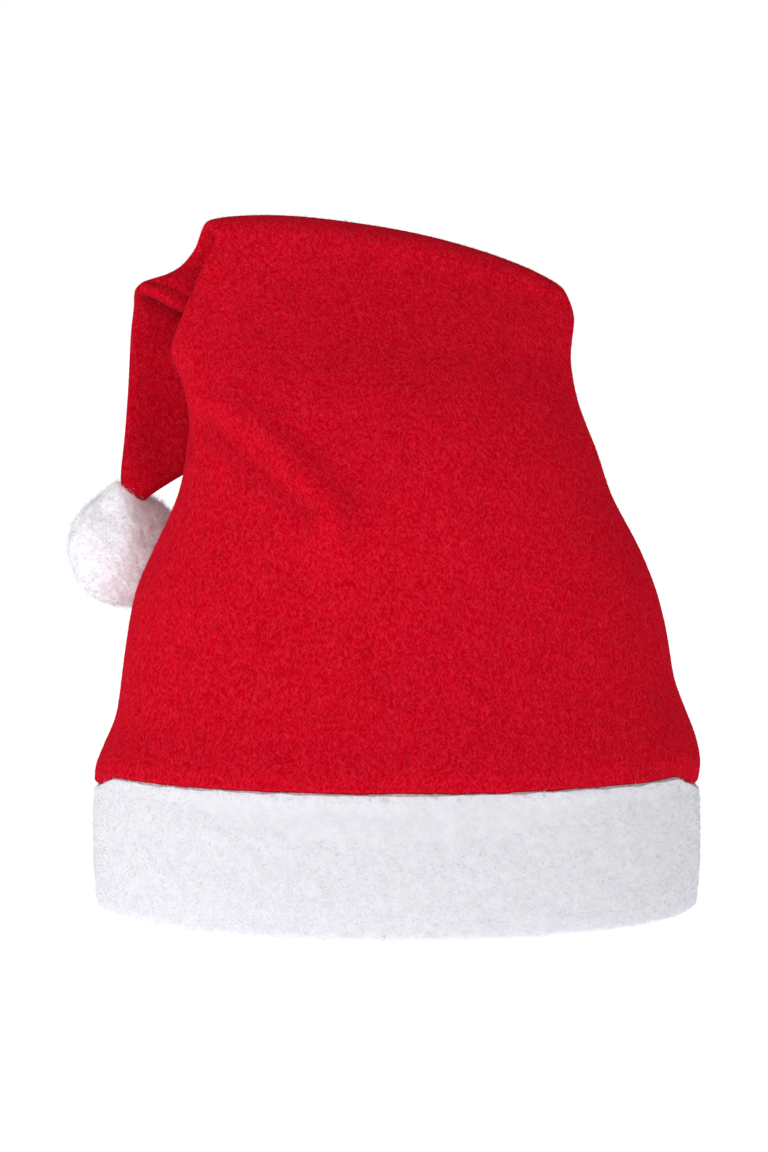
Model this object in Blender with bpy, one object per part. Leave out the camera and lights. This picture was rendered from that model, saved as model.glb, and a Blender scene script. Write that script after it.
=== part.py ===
"""A soft felt party hat, built the way it is sewn.

A red felt cone stands on a folded band of white plush.  Its upper third folds
back over itself along a slanting crease, pushes out a shoulder on the left and
hangs down behind, where its narrow tip is sewn into a white pompom.

Metres, +Z up.  The rim's centre is the origin, +X is the wearer's left as seen
from the front, and the front of the hat faces -Y.
"""

import math
from collections import namedtuple

import bmesh
import bpy
from mathutils import Vector

# Rim and band
RIM_HALF_WIDTH = 0.119
RIM_HALF_DEPTH = 0.066
SEAM_HALF_DEPTH = 0.060
BAND_HEIGHT = 0.053
BAND_OUTER_LAYER = 0.0025
BAND_INNER_LAYER = 0.0020
BAND_BULGE = 0.0008
BAND_REST_WIDTH = 0.0024
BAND_LIP_ROUND = 0.0006

# Felt cone
FELT_THICKNESS = 0.0018
HEM_DEPTH = 0.012
FOLD_HEIGHT = 0.259
FOLD_RADIUS = 0.0075
FLAP_HALF_THICKNESS = 0.0065
FLAP_TO_BODY_GAP = 0.0018
EDGE_WALL_SHARE = 1.4
DRAPE_SOFTNESS = 0.004
FLAT_ROUNDNESS = 0.75

# Pompom
POMPOM_RADIUS = 0.0246
POMPOM_HEAD_RADIUS = 0.0205
POMPOM_DROP = 0.0193
POMPOM_SHIFT_LEFT = 0.0054
POMPOM_SHIFT_BACK = -0.0003
LOCK_COUNT = 54
LOCK_RADIUS = 0.0046
LOCK_SIDE_COUNT = 5
LOCK_CURL = 0.5

# Fits
CLEARANCE = 0.0003

# How finely the cloth is divided
COLUMN_COUNT = 40
END_SPREAD = 0.12
SPAN_COUNT = 2
FOLD_STEP_COUNT = 6
HEM_SECTION_COUNT = 3

# The standing body, from just above the band up to where the cloth turns over.
# x is a share of RIM_HALF_WIDTH, rise a share of FOLD_HEIGHT - BAND_HEIGHT,
# front and back are shares of RIM_HALF_DEPTH, and so is lean, a shift to the
# back.  arch lifts a section's middle, as a share of the same rise.
BodyRow = namedtuple(
    "BodyRow", "left_x left_rise right_x right_rise front back lean arch"
)
BODY_ROWS = (
    BodyRow(-1.000, 0.012, 0.996, 0.012, 0.925, 0.925, 0.00, 0.000),
    BodyRow(-0.998, 0.035, 1.006, 0.040, 0.930, 0.930, 0.00, 0.000),
    BodyRow(-0.967, 0.068, 0.990, 0.076, 0.905, 0.905, 0.00, 0.000),
    BodyRow(-0.929, 0.112, 0.962, 0.112, 0.870, 0.870, 0.00, 0.000),
    BodyRow(-0.909, 0.180, 0.918, 0.180, 0.825, 0.820, 0.00, 0.000),
    BodyRow(-0.889, 0.262, 0.893, 0.262, 0.780, 0.770, 0.00, 0.000),
    BodyRow(-0.855, 0.354, 0.853, 0.350, 0.745, 0.720, 0.00, 0.000),
    BodyRow(-0.782, 0.447, 0.786, 0.442, 0.720, 0.670, 0.00, 0.000),
    BodyRow(-0.718, 0.529, 0.706, 0.529, 0.700, 0.620, 0.00, 0.000),
    BodyRow(-0.685, 0.617, 0.655, 0.612, 0.655, 0.550, 0.01, 0.000),
    BodyRow(-0.685, 0.709, 0.597, 0.699, 0.565, 0.450, 0.02, 0.002),
    BodyRow(-0.739, 0.796, 0.574, 0.772, 0.400, 0.310, 0.04, 0.010),
    BodyRow(-0.714, 0.854, 0.576, 0.816, 0.300, 0.220, 0.05, 0.015),
    BodyRow(-0.650, 0.940, 0.584, 0.858, 0.170, 0.130, 0.06, 0.024),
    BodyRow(-0.595, 1.010, 0.576, 0.884, 0.095, 0.085, 0.07, 0.029),
)

# The flap behind the body, from the end of the turn down to the tip.  lie is
# how far behind the rim's centre plane it would hang by itself, as a share of
# RIM_HALF_DEPTH, and thick is a share of FLAP_HALF_THICKNESS.  The jump in lie
# between the fourth and the sixth row is the lip of the shoulder.
FlapRow = namedtuple("FlapRow", "left_x left_rise right_x right_rise lie thick")
FLAP_ROWS = (
    FlapRow(-0.668, 1.000, 0.504, 0.870, 0.300, 0.85),
    FlapRow(-0.710, 0.966, 0.403, 0.806, 0.280, 0.85),
    FlapRow(-0.769, 0.944, 0.277, 0.757, 0.240, 0.95),
    FlapRow(-0.828, 0.933, 0.134, 0.721, 0.200, 1.00),
    FlapRow(-0.864, 0.917, -0.017, 0.692, 0.200, 0.95),
    FlapRow(-0.876, 0.888, -0.151, 0.670, 0.330, 0.80),
    FlapRow(-0.891, 0.820, -0.336, 0.643, 0.400, 0.75),
    FlapRow(-0.901, 0.728, -0.521, 0.612, 0.400, 0.75),
    FlapRow(-0.913, 0.646, -0.672, 0.575, 0.360, 0.70),
    FlapRow(-0.926, 0.549, -0.826, 0.521, 0.330, 0.60),
    FlapRow(-0.900, 0.515, -0.858, 0.500, 0.520, 0.45),
)
ROW_COUNT_IN_POMPOM = 2
SOLID_ROW_COUNT = 2

# Soft folds pressed into the front of the body.  Ends are shares of
# RIM_HALF_WIDTH and of FOLD_HEIGHT; height and width are in metres.
Crease = namedtuple("Crease", "from_x from_z to_x to_z height width")
CREASES = (
    Crease(-0.64, 0.765, -0.21, 0.590, 0.0060, 0.0120),
    Crease(-0.60, 0.700, -0.33, 0.600, -0.0045, 0.0095),
)

Section = namedtuple("Section", "left right front back arch")


def clear_scene():
    for thing in list(bpy.data.objects):
        bpy.data.objects.remove(thing, do_unlink=True)


def make_material(name, colour, roughness):
    material = bpy.data.materials.new(name)
    material.use_nodes = True
    shader = material.node_tree.nodes["Principled BSDF"]
    shader.inputs["Base Color"].default_value = (*colour, 1.0)
    shader.inputs["Roughness"].default_value = roughness
    shader.inputs["Metallic"].default_value = 0.0
    return material


def make_object(name, bm, material):
    """Turn a finished bmesh into a named object with outward, smooth faces."""
    bmesh.ops.recalc_face_normals(bm, faces=bm.faces)
    mesh = bpy.data.meshes.new(name)
    bm.to_mesh(mesh)
    bm.free()
    mesh.shade_smooth()
    mesh.materials.append(material)
    thing = bpy.data.objects.new(name, mesh)
    bpy.context.scene.collection.objects.link(thing)
    return thing


def column_angles():
    """Angles round a section, spread so that the flat faces get more columns."""
    angles = []
    for column in range(COLUMN_COUNT):
        even = 2.0 * math.pi * column / COLUMN_COUNT
        angles.append(even + END_SPREAD * math.sin(2.0 * even))
    return angles


def band_half_depth(height):
    share = min(height / BAND_HEIGHT, 1.0)
    return RIM_HALF_DEPTH + share * (SEAM_HALF_DEPTH - RIM_HALF_DEPTH)


def rise_to_height(rise):
    return BAND_HEIGHT + rise * (FOLD_HEIGHT - BAND_HEIGHT)


def curve_through(values, position):
    """Catmull-Rom curve through a list of equal-length tuples or numbers."""
    last = len(values) - 1
    index = min(int(position), last - 1)
    part = position - index
    before = values[max(index - 1, 0)]
    start = values[index]
    end = values[index + 1]
    after = values[min(index + 2, last)]
    return tuple(
        s + 0.5 * part * (e - b + part * (2 * b - 5 * s + 4 * e - a + part * (3 * (s - e) + a - b)))
        for b, s, e, a in zip(before, start, end, after)
    )


def refined(rows, spans):
    """The rows with smooth rows between them."""
    count = (len(rows) - 1) * spans
    return [type(rows[0])(*curve_through(rows, step / spans)) for step in range(count + 1)]


def hem_sections():
    """Sections of the cone's hem, inside the slot of the band."""
    inset = BAND_OUTER_LAYER + CLEARANCE
    sections = []
    for step in range(HEM_SECTION_COUNT):
        height = BAND_HEIGHT - HEM_DEPTH * (1.0 - step / (HEM_SECTION_COUNT - 1))
        half_width = RIM_HALF_WIDTH - inset
        depth = band_half_depth(height) - inset
        left = Vector((-half_width, 0.0, height))
        right = Vector((half_width, 0.0, height))
        sections.append(Section(left, right, depth, depth, 0.0))
    return sections


def body_sections(rows):
    sections = []
    for row in rows:
        back = row.lean * RIM_HALF_DEPTH
        left = Vector((row.left_x * RIM_HALF_WIDTH, back, rise_to_height(row.left_rise)))
        right = Vector((row.right_x * RIM_HALF_WIDTH, back, rise_to_height(row.right_rise)))
        sections.append(
            Section(
                left,
                right,
                row.front * RIM_HALF_DEPTH,
                row.back * RIM_HALF_DEPTH,
                row.arch * (FOLD_HEIGHT - BAND_HEIGHT),
            )
        )
    return sections


def fold_sections(start, end):
    """The half turn that carries the cloth from the body over to the flap."""
    sections = []
    for step in range(1, FOLD_STEP_COUNT):
        share = step / FOLD_STEP_COUNT
        turn = math.pi * share
        lift = Vector((0.0, 0.0, FOLD_RADIUS * math.sin(turn)))
        across = 0.5 * (1.0 - math.cos(turn))
        left = start.left.lerp(end.left, share)
        right = start.right.lerp(end.right, share)
        left.y = start.left.y + across * (end.left.y - start.left.y)
        right.y = start.right.y + across * (end.right.y - start.right.y)
        front = start.front + share * (end.front - start.front)
        back = start.back + share * (end.back - start.back)
        arch = start.arch + share * (end.arch - start.arch)
        sections.append(Section(left + lift, right + lift, front, back, arch))
    return sections


def flap_sections(rows, start):
    """Sections of the flap; start is the body section that it turns over from."""
    turned = start.left.y + 2.0 * FOLD_RADIUS
    sections = []
    for index, row in enumerate(rows):
        back = row.lie * RIM_HALF_DEPTH
        if index == 0:
            back = turned
        left = Vector((row.left_x * RIM_HALF_WIDTH, back, rise_to_height(row.left_rise)))
        right = Vector((row.right_x * RIM_HALF_WIDTH, back, rise_to_height(row.right_rise)))
        thick = row.thick * FLAP_HALF_THICKNESS
        arch = start.arch * max(0.0, 1.0 - index / (0.5 * len(rows)))
        sections.append(Section(left, right, thick, thick, arch))
    return sections


def middle_point(section, share):
    """A point on the line through the middle of a section, 0 at its left end."""
    point = section.left.lerp(section.right, share)
    point.z += section.arch * 4.0 * share * (1.0 - share)
    return point


def roundness(depth):
    """Exponent of a section's outline: 1 for an oval, less for a flat, full one."""
    return FLAT_ROUNDNESS + (1.0 - FLAT_ROUNDNESS) * min(1.0, 2.0 * depth / RIM_HALF_DEPTH)


def depth_share(share, depth):
    """How much of its full depth a section has at a share of its width."""
    oval = math.sqrt(max(0.0, 1.0 - (2.0 * share - 1.0) ** 2))
    return oval ** roundness(depth)


def body_back_at(sections, x, z):
    """How far back the standing body reaches at a place, or None beside it."""
    below = None
    for section in sections:
        width = section.right.x - section.left.x
        share = (x - section.left.x) / width
        if not 0.0 <= share <= 1.0:
            reach = section.left.y
            height = section.left.z if share < 0.0 else section.right.z
        else:
            reach = section.left.y + section.back * depth_share(share, section.back)
            height = middle_point(section, share).z
        if height >= z and below is not None:
            lower_height, lower_reach = below
            part = (z - lower_height) / max(height - lower_height, 1e-9)
            return lower_reach + part * (reach - lower_reach)
        below = (height, reach)
    return None


def softened_maximum(first, second, softness):
    return 0.5 * (first + second + math.hypot(first - second, softness))


def drape_on_body(point, thickness, body):
    """Push a point of the flap's middle back until the flap clears the body."""
    back = body_back_at(body, point.x, point.z)
    if back is not None:
        rest = back + thickness + FLAP_TO_BODY_GAP
        point.y = softened_maximum(point.y, rest, DRAPE_SOFTNESS)
    return point


def crease_lift(x, z):
    """Height of the soft folds at a place on the body's front."""
    lift = 0.0
    for crease in CREASES:
        start = Vector((crease.from_x * RIM_HALF_WIDTH, crease.from_z * FOLD_HEIGHT))
        end = Vector((crease.to_x * RIM_HALF_WIDTH, crease.to_z * FOLD_HEIGHT))
        along = end - start
        offset = Vector((x, z)) - start
        share = min(max(offset.dot(along) / along.length_squared, 0.0), 1.0)
        distance = (offset - along * share).length
        lift += crease.height * math.exp(-((distance / crease.width) ** 2))
    return lift


def cone_grid(sections, first_flap, body):
    """Middle points and unit normals of the cloth, for each section and column."""
    shares = [0.5 * (1.0 - math.cos(angle)) for angle in column_angles()]
    middles = []
    for index, section in enumerate(sections):
        ring = [middle_point(section, share) for share in shares]
        if index > first_flap:
            fullness = [depth_share(share, section.back) * section.back for share in shares]
            ring = [drape_on_body(p, f, body) for p, f in zip(ring, fullness)]
        middles.append(ring)
    normals = []
    last = len(sections) - 1
    for index, ring in enumerate(middles):
        before = middles[max(index - 1, 0)]
        after = middles[min(index + 1, last)]
        row = []
        for column in range(COLUMN_COUNT):
            mirror = (COLUMN_COUNT - column) % COLUMN_COUNT
            low = min(column, mirror)
            left = ring[max(low - 1, 0)]
            right = ring[min(low + 1, COLUMN_COUNT // 2)]
            along = after[column] - before[column]
            row.append((right - left).cross(along).normalized())
        normals.append(row)
    return middles, normals


def point_across(ring, share):
    """The point of a ring of middle points at a share of the section's width."""
    shares = [0.5 - 0.5 * math.cos(angle) for angle in column_angles()]
    for column in range(COLUMN_COUNT // 2):
        if share <= shares[column + 1] + 1e-9:
            part = (share - shares[column]) / (shares[column + 1] - shares[column])
            return ring[column].lerp(ring[column + 1], part)
    return ring[COLUMN_COUNT // 2].copy()


def cone_rings(sections, middles, normals, inset, body_count):
    """Rings of points on the cloth's outer face, or its inner face with an inset."""
    rings = []
    for index, section in enumerate(sections):
        edge = inset if index < HEM_SECTION_COUNT else inset * EDGE_WALL_SHARE
        narrowing = 1.0 - 2.0 * edge / (section.right - section.left).length
        ring = []
        for column, angle in enumerate(column_angles()):
            share = 0.5 - 0.5 * narrowing * math.cos(angle)
            middle = point_across(middles[index], share)
            sine = math.sin(angle)
            depth = section.front if sine > 0.0 else section.back
            side = math.copysign(abs(sine) ** roundness(depth), sine)
            reach = (depth - inset) * side
            if side > 0.0 and index < body_count:
                reach += crease_lift(middle.x, middle.z) * side
            ring.append(middle + normals[index][column] * reach)
        rings.append(ring)
    return rings


def add_ring(bm, points):
    return [bm.verts.new(point) for point in points]


def bridge(bm, first, second):
    count = len(first)
    for index in range(count):
        following = (index + 1) % count
        bm.faces.new((first[index], first[following], second[following], second[index]))


def cap_strip(bm, ring):
    """Close a flat ring with quads across it, from one narrow end to the other."""
    count = len(ring)
    half = count // 2
    bm.faces.new((ring[0], ring[1], ring[count - 1]))
    for index in range(1, half - 1):
        bm.faces.new((ring[index], ring[index + 1], ring[count - index - 1], ring[count - index]))
    bm.faces.new((ring[half - 1], ring[half], ring[half + 1]))


def cone_layout():
    """All sections of the cone, the flap's first index and the body's sections."""
    body_rows = refined(BODY_ROWS, SPAN_COUNT)
    flap_rows = refined(FLAP_ROWS, SPAN_COUNT)
    hem = hem_sections()
    body = body_sections(body_rows)
    flap = flap_sections(flap_rows, body[-1])
    fold = fold_sections(body[-1], flap[0])
    standing = hem + body
    sections = standing + fold + flap
    first_flap = len(standing) + len(fold)
    return sections, first_flap, standing


def build_crown(material):
    sections, first_flap, standing = cone_layout()
    middles, normals = cone_grid(sections, first_flap, standing)
    outer = cone_rings(sections, middles, normals, 0.0, len(standing))
    inner = cone_rings(sections, middles, normals, FELT_THICKNESS, len(standing))
    hollow_end = len(sections) - SOLID_ROW_COUNT * SPAN_COUNT
    kept = [
        index
        for index in range(hollow_end)
        if index < HEM_SECTION_COUNT or (index - HEM_SECTION_COUNT) % SPAN_COUNT == 0
    ]
    bm = bmesh.new()
    outer_loops = [add_ring(bm, ring) for ring in outer]
    inner_loops = [add_ring(bm, inner[index]) for index in kept]
    for lower, upper in zip(outer_loops, outer_loops[1:]):
        bridge(bm, lower, upper)
    for lower, upper in zip(inner_loops, inner_loops[1:]):
        bridge(bm, upper, lower)
    bridge(bm, inner_loops[0], outer_loops[0])
    cap_strip(bm, outer_loops[-1])
    cap_strip(bm, inner_loops[-1])
    return make_object("crown", bm, material)


def band_profile():
    """Inset from the rim's outline and height, round the folded strip's edge."""
    slot_outer = BAND_OUTER_LAYER
    slot_inner = slot_outer + FELT_THICKNESS + 2.0 * CLEARANCE
    inside = slot_inner + BAND_INNER_LAYER
    roll = 0.5 * inside
    rest_start = roll - 0.5 * BAND_REST_WIDTH
    rest_end = roll + 0.5 * BAND_REST_WIDTH
    slot_floor = BAND_HEIGHT - HEM_DEPTH - CLEARANCE
    corner = 0.3 * roll
    inner_top = BAND_HEIGHT - CLEARANCE
    lip = BAND_LIP_ROUND
    return (
        (slot_outer, BAND_HEIGHT - lip),
        (slot_outer - lip, BAND_HEIGHT),
        (lip, BAND_HEIGHT - 0.5 * lip),
        (0.0, BAND_HEIGHT - 3.0 * lip),
        (-BAND_BULGE, 0.75 * BAND_HEIGHT),
        (-BAND_BULGE, 0.35 * BAND_HEIGHT),
        (0.0, roll),
        (corner, corner),
        (rest_start, 0.0),
        (rest_end, 0.0),
        (inside - corner, corner),
        (inside, roll),
        (inside, 0.5 * BAND_HEIGHT),
        (inside, inner_top - lip),
        (inside - lip, inner_top),
        (slot_inner + lip, inner_top),
        (slot_inner, inner_top - lip),
        (slot_inner, slot_floor),
        (slot_outer, slot_floor),
    )


def band_ring(inset, height):
    half_width = RIM_HALF_WIDTH - inset
    half_depth = band_half_depth(height) - inset
    return [
        Vector((-half_width * math.cos(angle), -half_depth * math.sin(angle), height))
        for angle in column_angles()
    ]


def build_band(material):
    bm = bmesh.new()
    loops = [add_ring(bm, band_ring(inset, height)) for inset, height in band_profile()]
    for index, loop in enumerate(loops):
        bridge(bm, loop, loops[(index + 1) % len(loops)])
    return make_object("band", bm, material)


def tip_rings(extra):
    """Rings round the tip, grown by extra, over the stretch inside the pompom."""
    sections, first_flap, standing = cone_layout()
    middles, normals = cone_grid(sections, first_flap, standing)
    outer = cone_rings(sections, middles, normals, 0.0, len(standing))
    first = len(sections) - 1 - ROW_COUNT_IN_POMPOM * SPAN_COUNT
    rings = []
    for index in range(first, len(sections)):
        centre = 0.5 * (sections[index].left + sections[index].right)
        centre.y = sum(point.y for point in outer[index]) / COLUMN_COUNT
        rings.append([point + (point - centre).normalized() * extra for point in outer[index]])
    along = sections[-1].left + sections[-1].right - sections[-2].left - sections[-2].right
    past_end = along.normalized() * extra
    rings.append([point + past_end for point in rings[-1]])
    return rings, 0.5 * (sections[-1].left + sections[-1].right)


def build_tip_cutter():
    rings, _ = tip_rings(CLEARANCE)
    bm = bmesh.new()
    loops = [add_ring(bm, ring) for ring in rings]
    for lower, upper in zip(loops, loops[1:]):
        bridge(bm, lower, upper)
    cap_strip(bm, loops[0])
    cap_strip(bm, loops[-1])
    bmesh.ops.recalc_face_normals(bm, faces=bm.faces)
    cutter = make_object("tip_cutter", bm, None)
    cutter.hide_render = True
    cutter.display_type = "WIRE"
    return cutter


def lock_direction(index):
    """Evenly spread directions over a ball."""
    height = 1.0 - 2.0 * (index + 0.5) / LOCK_COUNT
    turn = index * math.pi * (3.0 - math.sqrt(5.0))
    flat = math.sqrt(1.0 - height * height)
    return Vector((flat * math.cos(turn), flat * math.sin(turn), height))


def add_lock(bm, direction, phase):
    """One lock of yarn: a short bent cone with its root inside the head."""
    upright = direction.to_track_quat("Z", "Y").to_matrix()
    reach = POMPOM_RADIUS * (1.0 + 0.03 * math.sin(5.0 * phase))
    root = 0.72 * POMPOM_HEAD_RADIUS
    stages = (
        (root, 0.60),
        (POMPOM_HEAD_RADIUS, 1.00),
        (POMPOM_HEAD_RADIUS + 0.55 * (reach - POMPOM_HEAD_RADIUS), 0.92),
        (POMPOM_HEAD_RADIUS + 0.90 * (reach - POMPOM_HEAD_RADIUS), 0.55),
    )
    lean = Vector((math.cos(phase), math.sin(phase), 0.0)) * LOCK_CURL * (reach - POMPOM_HEAD_RADIUS)
    loops = []
    for distance, size in stages:
        bend = max(0.0, (distance - POMPOM_HEAD_RADIUS) / (reach - POMPOM_HEAD_RADIUS))
        points = []
        for side in range(LOCK_SIDE_COUNT):
            turn = 2.0 * math.pi * side / LOCK_SIDE_COUNT
            flat = Vector((math.cos(turn), math.sin(turn), 0.0)) * LOCK_RADIUS * size
            local = flat + lean * bend * bend + Vector((0.0, 0.0, distance))
            points.append(upright @ local)
        loops.append(add_ring(bm, points))
    for lower, upper in zip(loops, loops[1:]):
        bridge(bm, lower, upper)
    tip = bm.verts.new(upright @ (lean + Vector((0.0, 0.0, reach))))
    for side in range(LOCK_SIDE_COUNT):
        bm.faces.new((loops[-1][side], loops[-1][(side + 1) % LOCK_SIDE_COUNT], tip))
    bm.faces.new(loops[0][::-1])


def pompom_centre():
    _, tip_end = tip_rings(0.0)
    return tip_end + Vector((-POMPOM_SHIFT_LEFT, POMPOM_SHIFT_BACK, -POMPOM_DROP))


def build_locks(centre):
    bm = bmesh.new()
    for index in range(LOCK_COUNT):
        add_lock(bm, lock_direction(index), 2.4 * index)
    bmesh.ops.translate(bm, vec=centre, verts=bm.verts)
    locks = make_object("pompom_locks", bm, None)
    locks.hide_render = True
    locks.display_type = "WIRE"
    return locks


def add_boolean(thing, name, operation, other):
    modifier = thing.modifiers.new(name, "BOOLEAN")
    modifier.operation = operation
    modifier.solver = "EXACT"
    modifier.object = other


def build_pompom(material):
    centre = pompom_centre()
    bm = bmesh.new()
    bmesh.ops.create_icosphere(bm, subdivisions=2, radius=POMPOM_HEAD_RADIUS)
    bmesh.ops.translate(bm, vec=centre, verts=bm.verts)
    pompom = make_object("pompom", bm, material)
    add_boolean(pompom, "fuse the locks", "UNION", build_locks(centre))
    add_boolean(pompom, "pocket for the tip", "DIFFERENCE", build_tip_cutter())
    return pompom


def build_hat():
    clear_scene()
    red_felt = make_material("red_felt", (0.58, 0.004, 0.012), 0.92)
    white_plush = make_material("white_plush", (0.86, 0.86, 0.88), 0.95)
    white_yarn = make_material("white_yarn", (0.88, 0.86, 0.87), 0.95)
    hat = bpy.data.objects.new("hat", None)
    bpy.context.scene.collection.objects.link(hat)
    for piece in (build_crown(red_felt), build_band(white_plush), build_pompom(white_yarn)):
        piece.parent = hat


build_hat()
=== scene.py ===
# %% [markdown]
# # A red felt hat with a plush band and a pompom
#
# The real hat is three pieces of cloth.  A cone of thin brushed felt stands on a folded
# band of white plush, and its top third folds over and hangs down to a fluffy pompom.
# The solid model already has every size, the folds of the cone and the thickness of the
# walls.  This script gives each solid the small forms and the surface of the real cloth,
# and then hides the solid that the new piece stands for.

# %% Load the solid model
from collections import namedtuple

import bmesh
import bpy
import numpy as np
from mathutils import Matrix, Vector, noise


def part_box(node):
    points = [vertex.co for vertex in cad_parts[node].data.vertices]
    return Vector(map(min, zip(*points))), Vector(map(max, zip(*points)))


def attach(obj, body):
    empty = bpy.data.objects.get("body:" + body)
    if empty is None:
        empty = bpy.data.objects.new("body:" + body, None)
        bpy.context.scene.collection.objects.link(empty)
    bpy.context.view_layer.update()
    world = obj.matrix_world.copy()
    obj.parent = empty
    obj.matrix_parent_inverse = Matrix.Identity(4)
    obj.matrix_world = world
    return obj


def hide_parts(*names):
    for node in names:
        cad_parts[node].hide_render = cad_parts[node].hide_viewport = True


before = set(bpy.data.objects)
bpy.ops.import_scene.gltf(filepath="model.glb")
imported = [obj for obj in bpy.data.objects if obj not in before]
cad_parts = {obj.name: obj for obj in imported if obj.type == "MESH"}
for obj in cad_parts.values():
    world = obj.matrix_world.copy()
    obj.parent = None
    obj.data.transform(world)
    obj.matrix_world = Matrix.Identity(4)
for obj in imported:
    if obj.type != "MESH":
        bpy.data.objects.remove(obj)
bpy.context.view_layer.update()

scene = bpy.context.scene
MM = 0.001

# %% [markdown]
# ## Colours and nodes
#
# Colours are picked as sRGB hex values, the way a screen shows them, but a renderer adds
# up light, so one function turns them to linear values.  Node materials could be built
# with one function for each kind of node.  One general function is enough here: it adds
# any node, sets its settings, and fills each input with a number or with a link.


# %% Colour helper
def linear(hex_colour):
    """An sRGB hex colour as linear red, green, blue and an alpha of one."""
    parts = [int(hex_colour[i : i + 2], 16) / 255 for i in (1, 3, 5)]
    curve = [c / 12.92 if c <= 0.04045 else ((c + 0.055) / 1.055) ** 2.4 for c in parts]
    return (*curve, 1.0)


print("Middle grey is", round(linear("#808080")[0], 3), "in linear light")


# %% Node helpers
def add_node(tree, kind, inputs=None, **settings):
    """Adds a node.  Each input takes a value, or the output of another node as a link."""
    made = tree.nodes.new(kind)
    for name, value in settings.items():
        setattr(made, name, value)
    for name, value in (inputs or {}).items():
        if isinstance(value, bpy.types.NodeSocket):
            tree.links.new(value, made.inputs[name])
        else:
            made.inputs[name].default_value = value
    return made


def new_material(name):
    """An empty node material and the node tree to fill."""
    material = bpy.data.materials.new(name)
    material.use_nodes = True
    material.node_tree.nodes.clear()
    return material, material.node_tree


def two_tones(tree, amount, shade, base):
    """Mixes two hex colours by an amount from 0 to 1."""
    return add_node(
        tree,
        "ShaderNodeMix",
        {"Factor": amount, "A": linear(shade), "B": linear(base)},
        data_type="RGBA",
    ).outputs["Result"]


# %% [markdown]
# ## Flecks
#
# Felt is short wool or polyester fibres, needled into a mat and then brushed, so the
# fibres lie every way and catch the light in short flecks.  A photograph of felt would
# show that, but a pattern made of noise has no seams and works at any size.  Each layer
# of flecks is noise that is squeezed in one direction, after a slower noise has bent its
# coordinates, so the fibres wander instead of running straight.  Real fibres are about
# 0.03 mm thick, too fine to show, so the flecks are drawn as bundles 0.7 mm wide.

# %% Flecks of fibre
FLECK_LENGTH = 2.6 * MM
FLECK_WIDTH = 0.7 * MM
FLECK_TURNS = ((0.2, 0.45, 0.0), (-0.3, -0.5, 0.0))
WANDER_SIZE = 6 * MM
WANDER = 4 * MM


def fleck_layer(tree, place, turn):
    """Noise in short wandering streaks, which stand upright before the turn in radians."""
    bend = add_node(
        tree, "ShaderNodeTexNoise", {"Vector": place, "Scale": 1 / WANDER_SIZE, "Detail": 2.0}
    )
    bent = add_node(
        tree,
        "ShaderNodeVectorMath",
        {0: bend.outputs["Color"], 1: (WANDER, WANDER, WANDER), 2: place},
        operation="MULTIPLY_ADD",
    )
    size = (FLECK_WIDTH, FLECK_WIDTH, FLECK_LENGTH)
    stretch = add_node(
        tree,
        "ShaderNodeMapping",
        {"Vector": bent.outputs[0], "Rotation": turn, "Scale": size},
        vector_type="TEXTURE",
    )
    return add_node(
        tree,
        "ShaderNodeTexNoise",
        {"Vector": stretch.outputs[0], "Scale": 1.0, "Detail": 3.0, "Roughness": 0.55},
    ).outputs["Fac"]


print("Flecks are", FLECK_LENGTH / MM, "mm long and", FLECK_WIDTH / MM, "mm wide")

# %% [markdown]
# ## Brushed red felt
#
# Dyed felt has no gloss at all: light sinks in between the fibres, and only their tips
# send a little back.  So the material is rough, without a mirror-like part, and has a
# very faint pink sheen.  The dye is uneven over about 7 mm.  Where the cloth is turned
# over, its nap points away from the eye and the red looks deeper.  Painted shade is added
# to that: the turned cloth is darkened below the lip, and every crease is darkened by its
# depth.  Each point of the mesh carries all this as one number, which turns the colour
# down.

# %% The felt material
MOTTLE_SIZE = 7 * MM
MOTTLE_RANGE = (0.3, 0.7)
FLECK_RANGE = (0.48, 0.75)
FLECK_MOST = 0.62
FELT_RELIEF = 0.6 * MM
DARKEST_NAP_AND_SHADE = 0.4


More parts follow.
